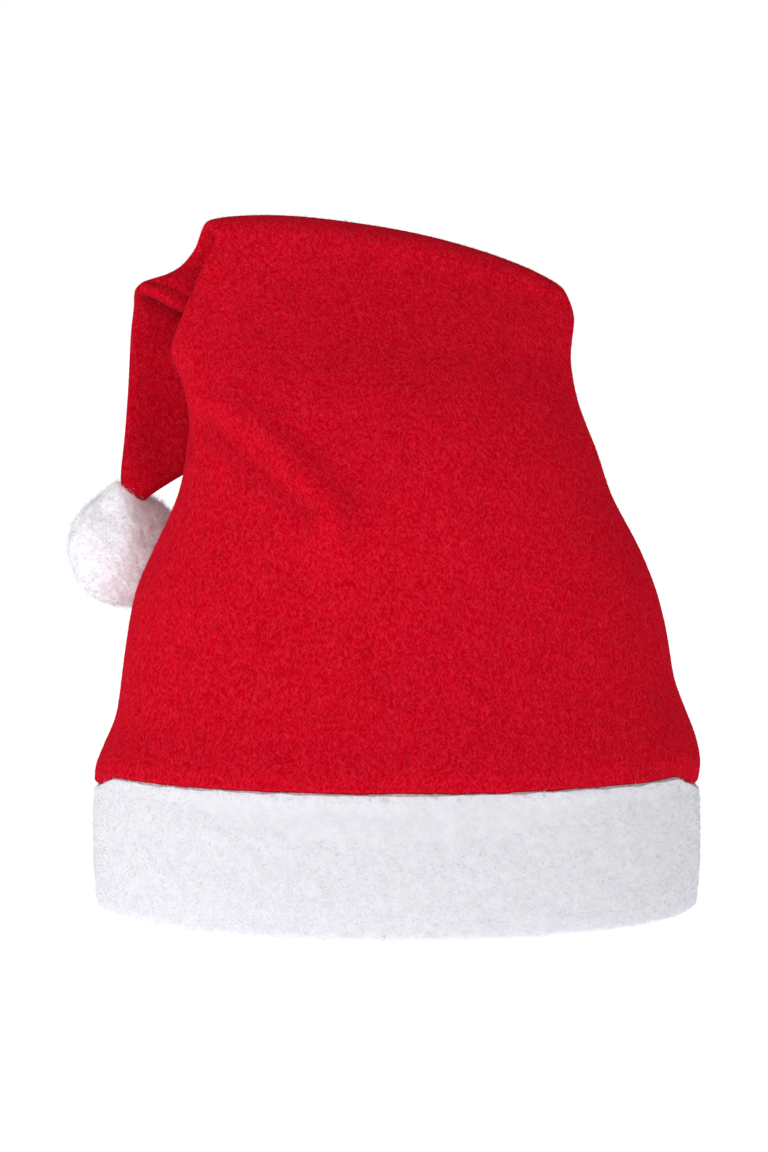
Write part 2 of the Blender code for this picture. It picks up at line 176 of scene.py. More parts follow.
def felt(name, shade, base, fleck, bump):
    """Dyed felt: lighter fibre flecks over a base colour, matt, with a faint sheen, darkened by
    turned nap and by painted shade.
    """
    material, tree = new_material(name)
    place = add_node(tree, "ShaderNodeTexCoord").outputs["Object"]
    layers = [fleck_layer(tree, place, turn) for turn in FLECK_TURNS]
    flecks = add_node(
        tree, "ShaderNodeMath", {0: layers[0], 1: layers[1]}, operation="MAXIMUM"
    ).outputs[0]
    mottle = add_node(
        tree,
        "ShaderNodeTexNoise",
        {"Vector": place, "Scale": 1 / MOTTLE_SIZE, "Detail": 4.0, "Roughness": 0.65},
    ).outputs["Fac"]
    low, high = FLECK_RANGE
    light = add_node(
        tree,
        "ShaderNodeMapRange",
        {"Value": flecks, "From Min": low, "From Max": high, "To Max": FLECK_MOST},
    ).outputs[0]
    low, high = MOTTLE_RANGE
    deep = add_node(
        tree, "ShaderNodeMapRange", {"Value": mottle, "From Min": low, "From Max": high}
    ).outputs[0]
    ground = two_tones(tree, deep, shade, base)
    colour = add_node(
        tree,
        "ShaderNodeMix",
        {"Factor": light, "A": ground, "B": linear(fleck)},
        data_type="RGBA",
    )
    # Turned nap darkens the red, and so does painted shade below the lip and in the creases.
    turned_nap_and_painted_shade = add_node(tree, "ShaderNodeAttribute", attribute_name="turned_nap_and_painted_shade").outputs["Fac"]
    nap_and_shade_factor = add_node(
        tree, "ShaderNodeMapRange", {"Value": turned_nap_and_painted_shade, "To Min": 1.0, "To Max": DARKEST_NAP_AND_SHADE}
    ).outputs[0]
    brushed = add_node(
        tree,
        "ShaderNodeVectorMath",
        {0: colour.outputs["Result"], "Scale": nap_and_shade_factor},
        operation="SCALE",
    )
    relief = add_node(tree, "ShaderNodeMath", {0: flecks, 1: mottle}, operation="ADD").outputs[0]
    raised = add_node(
        tree, "ShaderNodeBump", {"Height": relief, "Strength": bump, "Distance": FELT_RELIEF}
    ).outputs[0]
    shader = add_node(
        tree,
        "ShaderNodeBsdfPrincipled",
        {
            "Base Color": brushed.outputs[0],
            "Roughness": 0.95,
            "Specular IOR Level": 0.0,
            "Sheen Weight": 0.02,
            "Sheen Roughness": 0.6,
            "Sheen Tint": linear("#FFA0B4"),
            "Normal": raised,
        },
    )
    add_node(tree, "ShaderNodeOutputMaterial", {"Surface": shader.outputs[0]})
    return material


red_felt = felt("brushed red felt", "#AB0010", "#BB0016", "#E82842", 0.4)
red_felt_back = felt("red felt, unbrushed side", "#98000D", "#AC0012", "#C4102E", 0.3)
print("Made", red_felt.name, "and", red_felt_back.name)

# %% [markdown]
# ## Meshes as arrays
#
# The cloth is moved point by point, hundreds of thousands of them.  A loop over the
# points is easy to read but slow, so the points are read into an array, moved together
# and written back.  The small bumps come from Blender's own smooth noise.


# %% Helpers to link a mesh and read it as arrays
def link_mesh(name, mesh, *materials):
    """An object for a mesh, smooth shaded, with its materials."""
    mesh.shade_smooth()
    mesh.materials.clear()
    for material in materials:
        mesh.materials.append(material)
    piece = bpy.data.objects.new(name, mesh)
    scene.collection.objects.link(piece)
    print(f"{name}: {sum(len(face.vertices) - 2 for face in mesh.polygons):,} triangles")
    return piece


def read(items, name, width=3, kind=float):
    """One property of all the vertices or faces of a mesh, as an array."""
    values = np.zeros(len(items) * width, kind)
    items.foreach_get(name, values)
    return values.reshape(-1, width) if width > 1 else values


def bumps(points, size, shift=0.0):
    """Smooth noise from about -1 to 1 at each point, with bumps of this size in metres."""
    start = Vector((shift, shift, shift))
    return np.array([noise.noise(Vector(p) / size + start) for p in points])


def fade(values, width):
    """Rises from 0 to 1 over this width."""
    return np.clip(values / width, 0, 1)


# %% [markdown]
# ## From facets to smooth cloth
#
# The solid is faceted, and cloth is smooth.  Flat facets could be shaded smooth, but the
# outline would keep its corners.  So the triangles are joined back to quads, and
# Catmull-Clark subdivision rounds them.  It pulls every corner inwards, which would make
# the hat smaller, so the cage is first pushed out by as much as it loses, a few times
# over, until the smooth cloth runs through the points of the solid.

# %% Turn a solid into smooth quads
WELD = 0.001 * MM
CAGE_PASSES = 3
FLATTEST_FOLD = 1.05
ANY_SHAPE = 3.14


def smooth_cloth(node, levels, mark=None):
    """A subdivided copy of a solid's mesh that still runs through the solid's points."""
    form = bmesh.new()
    form.from_mesh(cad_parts[node].data)
    bmesh.ops.remove_doubles(form, verts=form.verts[:], dist=WELD)
    bmesh.ops.join_triangles(
        form,
        faces=form.faces[:],
        angle_face_threshold=FLATTEST_FOLD,
        angle_shape_threshold=ANY_SHAPE,
        topology_influence=1.0,
    )
    bmesh.ops.recalc_face_normals(form, faces=form.faces[:])
    if mark:
        mark(form)
    cage = bpy.data.meshes.new(node + " cage")
    form.to_mesh(cage)
    form.free()
    holder = bpy.data.objects.new(node + " cage", cage)
    scene.collection.objects.link(holder)
    modifier = holder.modifiers.new("Smooth", "SUBSURF")
    modifier.levels = modifier.render_levels = levels
    goal = read(cage.vertices, "co")
    placed = goal.copy()
    for _ in range(CAGE_PASSES):
        smooth = holder.evaluated_get(bpy.context.evaluated_depsgraph_get()).data
        lost = goal - read(smooth.vertices, "co")[: len(goal)]
        placed += lost
        cage.vertices.foreach_set("co", placed.ravel())
        cage.update()
        holder.update_tag()
        bpy.context.view_layer.update()
    print(f"{node}: cage loses {np.linalg.norm(lost, axis=1).max() / MM:.2f} mm at most")
    done = holder.evaluated_get(bpy.context.evaluated_depsgraph_get())
    mesh = bpy.data.meshes.new_from_object(done)
    bpy.data.objects.remove(holder)
    return mesh


# %% [markdown]
# ## The folds of the crown
#
# The crown is one cone of felt with a smooth brushed outside and a plainer inside.  Its
# folds could come from a cloth simulation, but the photograph shows exactly where each
# fold lies, and a simulation would put them elsewhere.  So each fold is a line of points
# on the cloth, in millimetres, with a height and a width, and the cloth is pushed out or
# in beside it.  A negative height is a crease.

# %% Lines of the folds
Fold = namedtuple("Fold", "points height width")
CREST = Fold(
    ((-79, -9, 200), (-62, -27, 196), (-46, -38, 186), (-31, -46, 172), (-24, -49, 160)), 1.7, 5.5
)
VALLEY = Fold(
    ((-74, -17, 190), (-66, -24, 184), (-56, -33, 175), (-44, -40, 166), (-36, -46, 158)), -2.4, 4.5
)
SIDE_SLIT = Fold(((-80, -3, 188), (-79, -9, 183), (-80, -8, 178)), -1.8, 2.2)
SHOULDER_WRINKLE = Fold(((-97, 11, 245), (-89, 10, 244), (-80, 4, 241)), -1.6, 1.6)
LIP = Fold(
    ((-97, 11, 242), (-92, 10, 240), (-87, 10, 237), (-81, 10, 234), (-75, 10, 231)), 3.2, 2.6
)
UNDER_LIP = Fold(((-98, 13, 236), (-94, 13, 234), (-88, 13, 231), (-80, 13, 227)), -3.8, 3.4)
HOLLOW = Fold(((-95, 15, 231), (-90, 15, 228), (-80, 15, 224)), -3.0, 8.5)
TIP_DISH = Fold(((-98, 18, 215), (-96, 20, 200), (-97, 19, 182)), -1.0, 9.0)
FOLDS = (CREST, VALLEY, SIDE_SLIT, SHOULDER_WRINKLE, LIP, UNDER_LIP, HOLLOW, TIP_DISH)


def fold_lift(points, fold):
    """How far one fold moves each point outwards."""
    line = np.array(fold.points) * MM
    nearest = np.full(len(points), 1.0)
    for start, end in zip(line, line[1:]):
        along = end - start
        share = np.clip((points - start) @ along / (along @ along), 0, 1)
        gap = np.linalg.norm(points - start - share[:, None] * along, axis=1)
        nearest = np.minimum(nearest, gap)
    return fold.height * MM * np.exp(-((nearest / (fold.width * MM)) ** 2))


print(len(FOLDS), "folds")

# %% [markdown]
# ## The seam
#
# The felt's hem is sewn into the band.  The stitches gather the felt in shallow puckers,
# and at the left and right ends of the hat, where the cloth turns sharply, the seam
# sinks by some millimetres.  Both pieces have to sink together, so one function says by
# how much, and both use it.

# %% Shape of the seam
BAND_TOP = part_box("band")[1].z
BAND_HALF = np.array(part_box("band")[1])
SEAM_DIP = 6.5 * MM
DIP_FOOT = 36 * MM
DIP_REACH = 14 * MM
DIP_START = 0.8
print("The band's top is at", round(BAND_TOP / MM, 1), "mm")


def away_from_middle(points):
    """The level direction straight out from the hat's oval at each point."""
    around = points / BAND_HALF**2 * (1, 1, 0)
    return around / np.linalg.norm(around, axis=1, keepdims=True)


def seam_dip(points):
    """How far the seam of felt and plush sinks, only at the hat's left and right ends."""
    sideways = np.abs(away_from_middle(points)[:, 0])
    ends = np.clip((sideways - DIP_START) / (1 - DIP_START), 0, 1)
    below = np.clip((points[:, 2] - DIP_FOOT) / (BAND_TOP - DIP_FOOT), 0, 1)
    above = np.clip(points[:, 2] - BAND_TOP, 0, None)
    return SEAM_DIP * ends * below * np.exp(-((above / DIP_REACH) ** 2))


# %% How the felt moves
PUCKER_FADE = 16 * MM
PUCKER_WIDTH = 11 * MM
PUCKER_HEIGHT = 0.7 * MM
PUCKER_START = 2 * MM
SWELL_SIZE = 45 * MM
SWELL_HEIGHT = 0.7 * MM
SWELL_START = 20 * MM
UPRIGHT = (1, 1, 0.25)


def cloth_shift(points, outwards):
    """How far each point of the felt's outside moves: folds, puckers and the seam's dip."""
    above = np.clip(points[:, 2] - BAND_TOP, 0, None)
    lift = sum(fold_lift(points, fold) for fold in FOLDS)
    pucker = bumps(points * UPRIGHT, PUCKER_WIDTH) * np.exp(-above / PUCKER_FADE)
    lift += PUCKER_HEIGHT * pucker * fade(above, PUCKER_START)
    lift += SWELL_HEIGHT * bumps(points, SWELL_SIZE, 7.0) * fade(above, SWELL_START)
    shift = lift[:, None] * outwards
    shift[:, 2] -= seam_dip(points)
    return shift


# %% [markdown]
# ## Outside, inside and the turned part
#
# Two things have to be known about each place on the felt: whether it is the brushed
# outside or the plainer inside, and whether it lies past the fold.  Both could be asked
# of the position, but the folded cloth lies over itself there.  It is safer to walk over
# the mesh.  From the top, the walk finds the outside and stops at the hem.  From the
# hem, it goes ring by ring up the cloth, and counts how far it has come.

# %% Walk over the crown's mesh
TURN_RING = 34
TURN_RINGS_LONG = 3
HEM_HEIGHT = 0.1 * MM


def mark_crown(form):
    """Gives the inside the second material, and marks how far each point lies past the fold, the
    share later darkened for turned nap and painted shade.
    """
    low = min(v.co.z for v in form.verts) + HEM_HEIGHT
    turned = form.verts.layers.float.new("turned_nap_and_painted_shade")
    hem = [face for face in form.faces if max(v.co.z for v in face.verts) <= low]
    top = max(form.verts, key=lambda v: v.co.z).link_faces[0]
    outside = {top}
    waiting = [top]
    while waiting:
        for edge in waiting.pop().edges:
            for face in edge.link_faces:
                if face not in outside and face not in hem:
                    outside.add(face)
                    waiting.append(face)
    for face in form.faces:
        face.material_index = 0 if face in outside or face in hem else 1
    reached = {vertex for face in hem for vertex in face.verts}
    ring = list(reached)
    step = 0
    while ring:
        step += 1
        beyond = {edge.other_vert(vertex) for vertex in ring for edge in vertex.link_edges}
        beyond -= reached
        for vertex in beyond:
            vertex[turned] = min(max((step - TURN_RING) / TURN_RINGS_LONG, 0), 1)
        reached |= beyond
        ring = list(beyond)
    print("The crown's cage is", step, "rings of cloth from hem to tip")


# %% [markdown]
# ## The felt crown
#
# Now the crown is made.  A point of the inside moves as the outside does one wall
# thickness away from it, so the wall keeps its thickness everywhere.  The turned cloth is
# darker only below the lip, the edge where it bends down: partly its turned nap, partly
# painted shade from the lip.  Each crease is painted darker, by how deep it is.

# %% Make the crown
WALL = 1.8 * MM
TURNED_NAP_AND_LIP_SHADE = 0.3
PAINTED_SHADE_PER_CREASE_DEPTH = 0.12 / MM
LIP_START = (-97 * MM, 241.5 * MM)
LIP_SLOPE = -0.5
LIP_FADE = 2 * MM
FACES_BACK = 0.2

crown_mesh = smooth_cloth("crown", 2, mark_crown)
places = read(crown_mesh.vertices, "co")
outwards = read(crown_mesh.vertex_normals, "vector")
inside_faces = read(crown_mesh.polygons, "material_index", 1, int) == 1
is_inside = np.zeros(len(places), bool)
for face in np.flatnonzero(inside_faces):
    is_inside[list(crown_mesh.polygons[face].vertices)] = True
outwards[is_inside] *= -1
over = places + WALL * is_inside[:, None] * outwards
places += cloth_shift(over, outwards)
crown_mesh.vertices.foreach_set("co", places.ravel())

# Painted shade in the creases: each crease darkens the felt by its depth.
painted_crease_shade = sum(np.clip(-fold_lift(over, fold), 0, None) for fold in FOLDS) * PAINTED_SHADE_PER_CREASE_DEPTH
# Painted shade below the lip: the turned cloth is darkened under the lip and where it faces the
# back, not above the lip.
lip_height = LIP_START[1] + LIP_SLOPE * (over[:, 0] - LIP_START[0])
below_lip = fade(lip_height - over[:, 2], LIP_FADE)
below_lip[outwards[:, 1] > FACES_BACK] = 1
turned_nap_and_painted_shade = crown_mesh.attributes["turned_nap_and_painted_shade"].data
turned = read(turned_nap_and_painted_shade, "value", 1)
turned_nap_and_painted_shade.foreach_set("value", TURNED_NAP_AND_LIP_SHADE * turned * below_lip + painted_crease_shade)
crown_mesh.update()
crown = link_mesh("felt_crown", crown_mesh, red_felt, red_felt_back)
crown_mesh.polygons.foreach_set("material_index", inside_faces.astype(int))

# %% [markdown]
# ## Fibres
#
# What makes felt and plush look soft is the fringe of loose fibres, mostly at the
# outline.  Blender's hair could grow it, but hair isn't a mesh and would be lost when the
# part is exported.  Each fibre here is a thin three-sided spike, closed at its root.
# All the fibres of a piece are one mesh, made from arrays, so tens of thousands cost
# about a second.


# %% Find places for the roots
def scatter(mesh, count, draw, wanted):
    """Random points on the wanted triangles of a mesh, with the surface's direction there."""
    mesh.calc_loop_triangles()
    corners = read(mesh.loop_triangles, "vertices", 3, int)
    polygon = read(mesh.loop_triangles, "polygon_index", 1, int)
    spots = read(mesh.vertices, "co")
    normals = read(mesh.vertex_normals, "vector")
    centres = spots[corners].mean(axis=1)
    corners = corners[wanted(centres, polygon)]
    edges = spots[corners[:, 1:]] - spots[corners[:, :1]]
    areas = np.linalg.norm(np.cross(edges[:, 0], edges[:, 1]), axis=1)
    chosen = corners[draw.choice(len(corners), count, p=areas / areas.sum())]
    weights = draw.dirichlet((1, 1, 1), count)
    roots = (spots[chosen] * weights[:, :, None]).sum(axis=1)
    facing = (normals[chosen] * weights[:, :, None]).sum(axis=1)
    print(f"{count:,} roots on {len(corners):,} triangles of {mesh.name}")
    return roots, facing / np.linalg.norm(facing, axis=1, keepdims=True)


# %% Grow fibres from the roots
THIRD_TURN = 2.0944
TAPER = 0.6
SLIGHT = 0.01


def fibre_faces(rings):
    """The triangles of one spike: its root, its sides and its point."""
    pattern = [(2, 1, 0)]
    for ring in range(rings):
        for corner in range(3):
            a = 3 * ring + corner
            b = 3 * ring + (corner + 1) % 3
            if ring == rings - 1:
                pattern.append((a, b, 3 * rings))
            else:
                pattern += [(a, b, b + 3), (a, b + 3, a + 3)]
    return np.array(pattern)


def fibres(name, roots, facing, lean_to, lengths, width, curl, draw, rings):
    """Closed three-sided spikes from the roots.  They start along lean_to and curl randomly.

    The width is measured at the root, from the spike's middle to a corner.
    """
    count = len(roots)
    heading = lean_to / np.linalg.norm(lean_to, axis=1, keepdims=True)
    side = np.cross(heading, facing + SLIGHT * draw.normal(size=(count, 3)))
    side /= np.linalg.norm(side, axis=1, keepdims=True)
    third = np.cross(heading, side)
    turn = curl * draw.normal(size=(count, 3))
    points = np.zeros((count, 3 * rings + 1, 3))
    for ring in range(rings):
        share = ring / rings
        middle = roots + lengths[:, None] * (share * heading + share**2 * turn)
        for corner in range(3):
            angle = THIRD_TURN * corner
            around = np.cos(angle) * side + np.sin(angle) * third
            points[:, 3 * ring + corner] = middle + width * (1 - TAPER * share) * around
    points[:, -1] = roots + lengths[:, None] * (heading + turn)
    start = np.arange(count)[:, None, None] * (3 * rings + 1)
    triangles = (start + fibre_faces(rings)).reshape(-1, 3)
    mesh = bpy.data.meshes.new(name)
    mesh.vertices.add(points.size // 3)
    mesh.vertices.foreach_set("co", points.ravel())
    mesh.loops.add(triangles.size)
    mesh.loops.foreach_set("vertex_index", triangles.ravel())
    mesh.polygons.add(len(triangles))
    mesh.polygons.foreach_set("loop_start", np.arange(0, triangles.size, 3))
    mesh.update(calc_edges=True)
    return mesh


# %% [markdown]
# ## The look of a loose fibre
#
# Felt, plush and yarn are all made of polyester or acrylic fibre, which is matt here
# because it is thin and crimped.  Single fibres are too thin to show a pattern of their
# own, but dye takes a little more in one tuft than in the next, so the tone changes over
# about 1.5 mm.

# %% The material of loose fibres
TONE_SIZE = 1.5 * MM
TONE_RANGE = (0.35, 0.65)


def loose_fibre(name, shade, base):
    """Matt fibre whose tone changes a little from one tuft to the next."""
    material, tree = new_material(name)
    place = add_node(tree, "ShaderNodeTexCoord").outputs["Object"]
    tufts = add_node(
        tree, "ShaderNodeTexNoise", {"Vector": place, "Scale": 1 / TONE_SIZE, "Detail": 2.0}
    ).outputs["Fac"]
    low, high = TONE_RANGE
    tone = add_node(
        tree, "ShaderNodeMapRange", {"Value": tufts, "From Min": low, "From Max": high}
    ).outputs[0]
    shader = add_node(
        tree,
        "ShaderNodeBsdfPrincipled",
        {
            "Base Color": two_tones(tree, tone, shade, base),
            "Roughness": 0.9,
            "Specular IOR Level": 0.1,
            "Sheen Weight": 0.1,
        },
    )
    add_node(tree, "ShaderNodeOutputMaterial", {"Surface": shader.outputs[0]})
    return material


felt_fibre = loose_fibre("loose red felt fibre", "#BE0E28", "#DA1A38")
plush_pile = loose_fibre("white plush pile", "#D9D9DF", "#E5E5E9")
yarn_strand = loose_fibre("loose white yarn", "#F2F0F6", "#FAF8FC")
print("Made", felt_fibre.name + ",", plush_pile.name, "and", yarn_strand.name)

# %% [markdown]
# ## The nap of the felt
#
# Brushing lifts short loose fibres that lie nearly flat on the felt.  They show as a thin
# pale fuzz along the outline.  They are made about four times as thick as real ones,
# because a real fibre is far thinner than a pixel.

# %% Felt nap
NAP_COUNT = 44000
NAP_LENGTH = 1.3 * MM
NAP_WIDTH = 0.055 * MM
NAP_CURL = 0.2
draw = np.random.default_rng(11)


def on_outside(centres, polygon):
    """The brushed side of the felt, above the band."""
    return ~inside_faces[polygon] & (centres[:, 2] > BAND_TOP)


roots, facing = scatter(crown_mesh, NAP_COUNT, draw, on_outside)
loose = draw.normal(size=roots.shape)
loose -= (loose * facing).sum(axis=1, keepdims=True) * facing
loose /= np.linalg.norm(loose, axis=1, keepdims=True)
lengths = NAP_LENGTH * draw.uniform(0.5, 1.4, NAP_COUNT)
lean = loose + facing * draw.uniform(0.15, 0.6, (NAP_COUNT, 1))
nap_mesh = fibres("felt_nap", roots, facing, lean, lengths, NAP_WIDTH, NAP_CURL, draw, 1)
nap = link_mesh("felt_nap", nap_mesh, felt_fibre)

# %% [markdown]
# ## White plush
#
# Plush is a knitted cloth with a dense short pile that stands up and leans in clumps, so
# it looks like packed snow with soft hollows.  The white is a bluish one, as bleached
# polyester has, with painted shade: it is slightly darker in the hollows of the relief.
# The ground of the cloth gets this material, with a fine relief for the pile that is too
# short to grow as fibres.  The yarn of the pompom has the same build, so it uses the same
# function.

# %% The plush material
CLUMP_RANGE = (0.3, 0.65)
PILE_GRAIN = 0.9 * MM
PLUSH_RELIEF = 0.5 * MM


def plush(name, shade, base, size, bump):
    """White pile with painted shade: a very slightly darker tone in the hollows, and a fine soft
    relief.
    """
    material, tree = new_material(name)
    place = add_node(tree, "ShaderNodeTexCoord").outputs["Object"]
    clumps = add_node(
        tree,
        "ShaderNodeTexNoise",
        {"Vector": place, "Scale": 1 / size, "Detail": 5.0, "Roughness": 0.7},
    ).outputs["Fac"]
    pile = add_node(
        tree,
        "ShaderNodeTexNoise",
        {"Vector": place, "Scale": 1 / PILE_GRAIN, "Detail": 2.0, "Roughness": 0.6},
    ).outputs["Fac"]
    low, high = CLUMP_RANGE
    # Painted shade: the colour is darker where the clump relief is low, in its hollows.
    painted_hollow_shade = add_node(
        tree, "ShaderNodeMapRange", {"Value": clumps, "From Min": low, "From Max": high}
    ).outputs[0]
    relief = add_node(tree, "ShaderNodeMath", {0: clumps, 1: pile}, operation="ADD").outputs[0]
    raised = add_node(
        tree, "ShaderNodeBump", {"Height": relief, "Strength": bump, "Distance": PLUSH_RELIEF}
    ).outputs[0]
    shader = add_node(
        tree,
        "ShaderNodeBsdfPrincipled",
        {
            "Base Color": two_tones(tree, painted_hollow_shade, shade, base),
            "Roughness": 0.95,
            "Specular IOR Level": 0.1,
            "Sheen Weight": 0.15,
            "Sheen Roughness": 0.6,
            "Normal": raised,
        },
    )
    add_node(tree, "ShaderNodeOutputMaterial", {"Surface": shader.outputs[0]})
    return material


white_plush = plush("white plush", "#D3D3D9", "#DEDEE4", 3 * MM, 0.3)
white_yarn = plush("white acrylic yarn", "#ECE9EF", "#F5F3F8", 4 * MM, 0.3)
print("Made", white_plush.name, "and", white_yarn.name)

# %% [markdown]
# ## The plush band
#
# The band is a strip of plush, folded double round the rim, with the felt's hem sewn in
# between.  Its soft hollows are real shape on the mesh, in two sizes.  Its top edge was
# cut, so it is uneven, and the outer layer rolls slightly outwards there.  At the two
# ends the edge is drawn tight and doesn't roll.

# %% Make the band
CLUMP_SIZE = 7 * MM
CLUMP_HEIGHT = 0.45 * MM
TUFT_SIZE = 2.5 * MM
TUFT_HEIGHT = 0.22 * MM
ROLL_DEPTH = 6 * MM
ROLL_OUT = 0.9 * MM
ROLL_WAVE = 6 * MM
EDGE_RISE = 1.7 * MM
EDGE_WAVE = 8 * MM
EDGE_TUFT = 3 * MM
TIGHT_ENDS = 1.5
ALONG_RIM = (1, 1, 0.2)

band_mesh = smooth_cloth("band", 3)
spots = read(band_mesh.vertices, "co")
outwards = read(band_mesh.vertex_normals, "vector")
swell = CLUMP_HEIGHT * bumps(spots, CLUMP_SIZE, 3.0) + TUFT_HEIGHT * bumps(spots, TUFT_SIZE, 5.0)
outer_share = 0.5 + 0.5 * (outwards * away_from_middle(spots)).sum(axis=1)
spots += swell[:, None] * outwards
around = away_from_middle(spots)
roll = np.clip((spots[:, 2] - BAND_TOP) / ROLL_DEPTH + 1, 0, 1) ** 2
roll *= np.clip(TIGHT_ENDS * np.abs(around[:, 1]), 0, 1)
dip = seam_dip(spots)
rim = spots * ALONG_RIM
roll_out = 0.8 + 0.6 * bumps(rim, ROLL_WAVE, 11.0)
spots += (ROLL_OUT * outer_share * roll * roll_out)[:, None] * around
spots[:, 2] -= dip
rise = 1.1 + 0.35 * bumps(rim, EDGE_WAVE, 13.0) + 0.2 * bumps(rim, EDGE_TUFT, 17.0)
spots[:, 2] += EDGE_RISE * outer_share * roll * rise
spots[:, 2] = np.maximum(spots[:, 2], 0)
band_mesh.vertices.foreach_set("co", spots.ravel())
band_mesh.update()
band = link_mesh("plush_band", band_mesh, white_plush)

# %% [markdown]
# ## The pile of the band
#
# The pile is fibres again, shorter and denser than the felt's nap, and neighbours lean
# together in clumps.  It grows only where it can be seen: on the outer face and along
# the top edge.  A longer fringe stands along that edge and hides the seam.  The clumps
# follow Blender's vector noise, which starts from the clock unless it is given a seed,
# so it is given one, and the hat comes out the same each time.

# %% Where the pile grows
OUTER_FACE = 0.955
EDGE_DEPTH = 2 * MM
FRINGE_DEPTH = 1.2 * MM
CLUMP_SEED = 11
noise.seed_set(CLUMP_SEED)


def on_front_of_band(centres, polygon):
    """The band's outer face and its two edges, without the side that faces the head."""
    radius = np.hypot(centres[:, 0] / BAND_HALF[0], centres[:, 1] / BAND_HALF[1])
    return (radius > OUTER_FACE) | (centres[:, 2] > BAND_TOP - EDGE_DEPTH)


def on_top_edge(centres, polygon):
    """A narrow strip of the band, just under the red felt."""
    edge = BAND_TOP - seam_dip(centres * (1, 1, 0) + (0, 0, BAND_TOP))
    return on_front_of_band(centres, polygon) & (centres[:, 2] > edge - FRINGE_DEPTH)


def clumps(points, size):
    """Directions that change smoothly from place to place, so that neighbours lean together."""
    return np.array([noise.noise_vector(Vector(p) / size) for p in points])


# %% Grow the pile and the fringe
PILE_COUNT = 42000
PILE_LENGTH = 0.9 * MM
PILE_WIDTH = 0.06 * MM
PILE_CLUMP = 5 * MM
PILE_CURL = 0.2
FRINGE_COUNT = 9000
FRINGE_LENGTH = 2.4 * MM
FRINGE_WIDTH = 0.09 * MM
FRINGE_CLUMP = 4 * MM
LOWEST_TIP = 0.05 * MM

roots, facing = scatter(band_mesh, PILE_COUNT, draw, on_front_of_band)
lean = facing * draw.uniform(0.7, 1.2, (PILE_COUNT, 1)) + 0.25 * draw.normal(size=roots.shape)
lean += 0.8 * clumps(roots, PILE_CLUMP)
lengths = PILE_LENGTH * draw.uniform(0.6, 1.3, PILE_COUNT)

edge_roots, edge_facing = scatter(band_mesh, FRINGE_COUNT, draw, on_top_edge)
edge_lean = 0.2 * edge_facing + 0.3 * draw.normal(size=edge_roots.shape) + (0, 0, 1.2)
edge_lean += 0.9 * clumps(edge_roots, FRINGE_CLUMP)
thick = 0.65 + bumps(edge_roots * ALONG_RIM, FRINGE_CLUMP, 9.0)
uneven = draw.uniform(0.6, 1.1, FRINGE_COUNT)
edge_lengths = FRINGE_LENGTH * np.clip(thick, 0.25, 1.0) * uneven

pile_mesh = fibres(
    "plush_pile",
    np.concatenate((roots, edge_roots)),
    np.concatenate((facing, edge_facing)),
    np.concatenate((lean, edge_lean)),
    np.concatenate((lengths, edge_lengths)),
    np.repeat((PILE_WIDTH, FRINGE_WIDTH), (PILE_COUNT, FRINGE_COUNT))[:, None],
    PILE_CURL,
    draw,
    1,
)
tips = read(pile_mesh.vertices, "co")
tips[:, 2] = np.maximum(tips[:, 2], LOWEST_TIP)
pile_mesh.vertices.foreach_set("co", tips.ravel())
pile = link_mesh("plush_pile", pile_mesh, plush_pile)

# %% [markdown]
# ## The pompom's head
#
# A pompom is a bundle of yarn, tied in the middle and trimmed to a ball, so its ends
# spread from the centre and gather in soft tufts.  Thousands of single strands alone
# would leave gaps, so a lumpy head fills the middle.  Its lumps are noise of three
# sizes, and on top it rises in a collar in front of the felt tip, which sinks into it.

# %% Make the head
POMPOM_LOW, POMPOM_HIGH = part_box("pompom")
POMPOM_CENTRE = (POMPOM_LOW + POMPOM_HIGH) / 2
POMPOM_RADIUS = (POMPOM_HIGH.z - POMPOM_LOW.z) / 2
HEAD_SHARE = 0.94
PUFFS = ((2.4, 0.050), (5.5, 0.022), (13.0, 0.010))
PUFF_SHIFT = Vector((4, 4, 4))
COLLAR = Vector((0.02, -0.42, 0.91)).normalized()
COLLAR_RISE = 0.30
COLLAR_SPREAD = 0.34
print("Pompom centre", POMPOM_CENTRE, "radius in mm", round(POMPOM_RADIUS / MM, 1))

form = bmesh.new()
bmesh.ops.create_icosphere(form, subdivisions=6, radius=1.0)
for vertex in form.verts:
    direction = vertex.co.normalized()
    puff = sum(height * noise.noise(direction * pace + PUFF_SHIFT) for pace, height in PUFFS)
    puff += COLLAR_RISE * np.exp(-((direction.angle(COLLAR) / COLLAR_SPREAD) ** 2))
    vertex.co = POMPOM_CENTRE + direction * (HEAD_SHARE + puff) * POMPOM_RADIUS
head_mesh = bpy.data.meshes.new("pompom_head")
form.to_mesh(head_mesh)
form.free()
pompom = link_mesh("pompom_head", head_mesh, white_yarn)

# %% [markdown]
# ## The pompom's strands
#
# Short strands of yarn grow from the head in every direction and curl, which gives the
# ball its soft outline.  Each strand has a joint in its middle, so the curl shows.

# %% Grow the strands
STRAND_COUNT = 16000
STRAND_LENGTH = 3.2 * MM
STRAND_WIDTH = 0.045 * MM
STRAND_CURL = 0.4


def everywhere(centres, polygon):
    """Every triangle of the head."""
    return polygon >= 0


roots, facing = scatter(head_mesh, STRAND_COUNT, draw, everywhere)
loose = draw.normal(size=roots.shape)
lean = 0.45 * facing + 0.6 * loose
lengths = STRAND_LENGTH * draw.uniform(0.5, 1.2, STRAND_COUNT)
strand_mesh = fibres(
    "pompom_strands", roots, facing, lean, lengths, STRAND_WIDTH, STRAND_CURL, draw, 2
)
strands = link_mesh("pompom_strands", strand_mesh, yarn_strand)

# %% [markdown]
# ## What each piece stands for
#
# Each new piece rides on the hat's one body, and hides the solid that it stands for.
# The table also names a material slot for each piece, but nothing here uses it.

